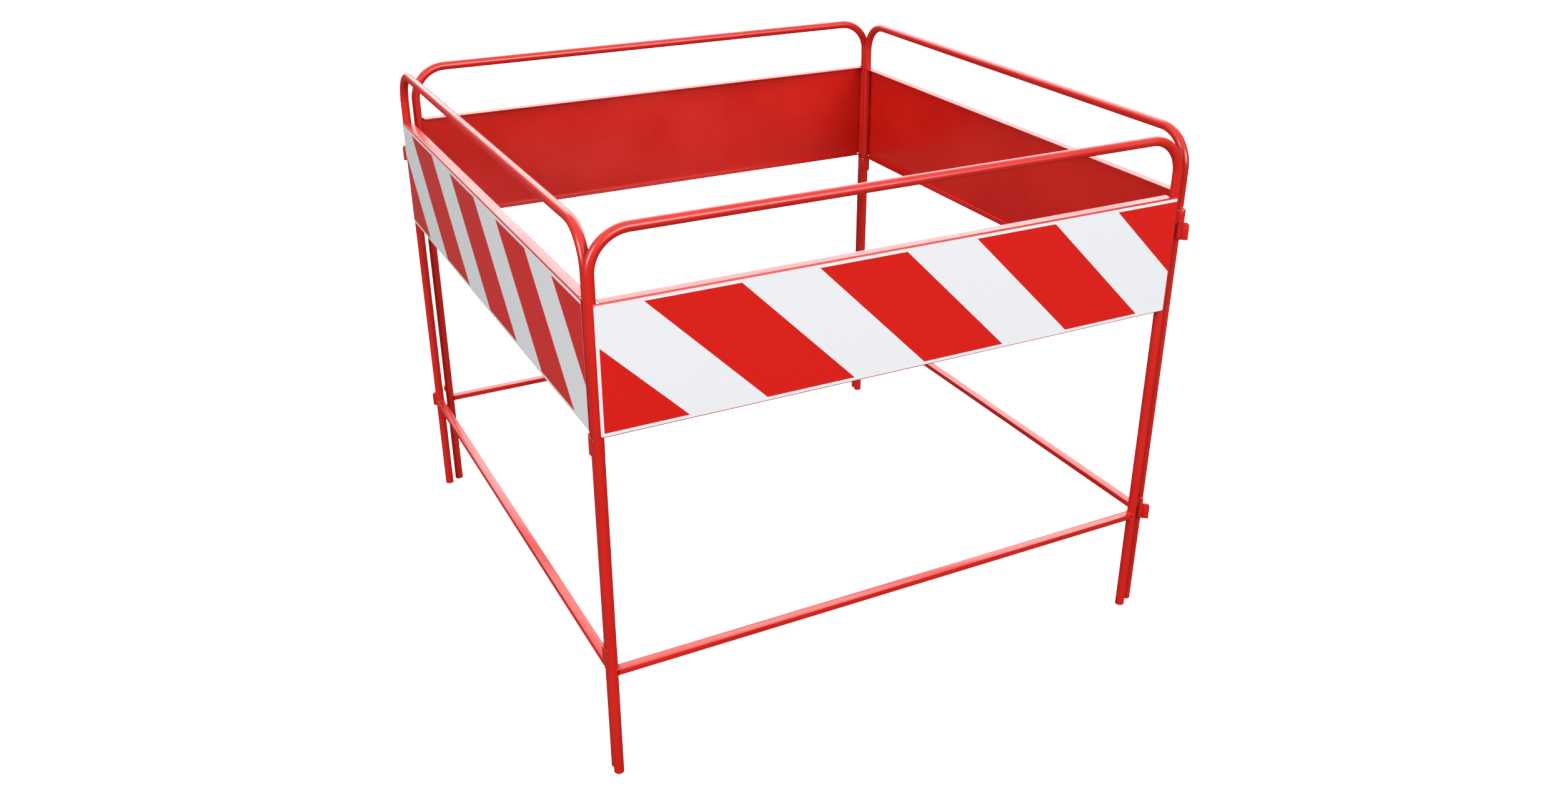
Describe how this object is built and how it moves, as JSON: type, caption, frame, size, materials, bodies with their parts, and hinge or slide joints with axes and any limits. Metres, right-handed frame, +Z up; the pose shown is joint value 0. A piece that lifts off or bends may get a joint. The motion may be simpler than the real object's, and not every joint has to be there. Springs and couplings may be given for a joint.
{
  "type": "folding manhole guard",
  "caption": "Hinged tube frames with striped sheet panels that stand as a square guard round an open manhole and fold together for carrying.",
  "frame": {"origin": "on the ground, at the middle of the guard", "axes": "+Z up; +X from the left leg to the right leg of the front frame as seen from outside it; the front frame faces -Y, the right frame faces +X, the back frame +Y and the left frame -X"},
  "size_m": [1.0442, 1.05, 0.9],
  "materials": {
    "red_paint": "glossy red paint on welded steel",
    "white_film": "white reflective film",
    "red_film": "clear red overlay on reflective film"
  },
  "bodies": {
    "front_frame": {"front_hoop": "red_paint", "front_bottom_bar": "red_paint", "front_panel": "red_paint", "front_film": "white_film", "front_red_stripes": "red_film", "front_strap_upper": "red_paint", "front_strap_lower": "red_paint", "front_eye_upper": "red_paint", "front_eye_lower": "red_paint"},
    "left_frame": {"left_hoop": "red_paint", "left_bottom_bar": "red_paint", "left_panel": "red_paint", "left_film": "white_film", "left_red_stripes": "red_film", "left_plate_upper": "red_paint", "left_plate_lower": "red_paint", "left_pin_upper": "red_paint", "left_pin_lower": "red_paint"},
    "back_frame": {"back_hoop": "red_paint", "back_bottom_bar": "red_paint", "back_panel": "red_paint", "back_film": "white_film", "back_red_stripes": "red_film", "back_strap_upper": "red_paint", "back_strap_lower": "red_paint", "back_eye_upper": "red_paint", "back_eye_lower": "red_paint"},
    "right_frame": {"right_hoop": "red_paint", "right_bottom_bar": "red_paint", "right_panel": "red_paint", "right_film": "white_film", "right_red_stripes": "red_film", "right_plate_upper": "red_paint", "right_plate_lower": "red_paint", "right_pin_upper": "red_paint", "right_pin_lower": "red_paint"}
  },
  "joints": [
    {"name": "near_hinge", "type": "hinge", "parent": "front_frame", "child": "left_frame", "pos_m": [-0.51104, -0.49777, 0], "axis": [0, 0, -1], "range_deg": [-30, 85]},
    {"name": "right_hook_hinge", "type": "hinge", "parent": "front_frame", "child": "right_frame", "pos_m": [0.50345, -0.51672, 0], "axis": [0, 0, -1], "range_deg": [-30, 85]},
    {"name": "left_hook_hinge", "type": "hinge", "parent": "left_frame", "child": "back_frame", "pos_m": [-0.50345, 0.51672, 0], "axis": [0, 0, -1], "range_deg": [-85, 30]}
  ],
  "couplings": [
    {"joint": "right_hook_hinge", "follows": "near_hinge", "ratio": 1},
    {"joint": "left_hook_hinge", "follows": "near_hinge", "ratio": -1}
  ]
}
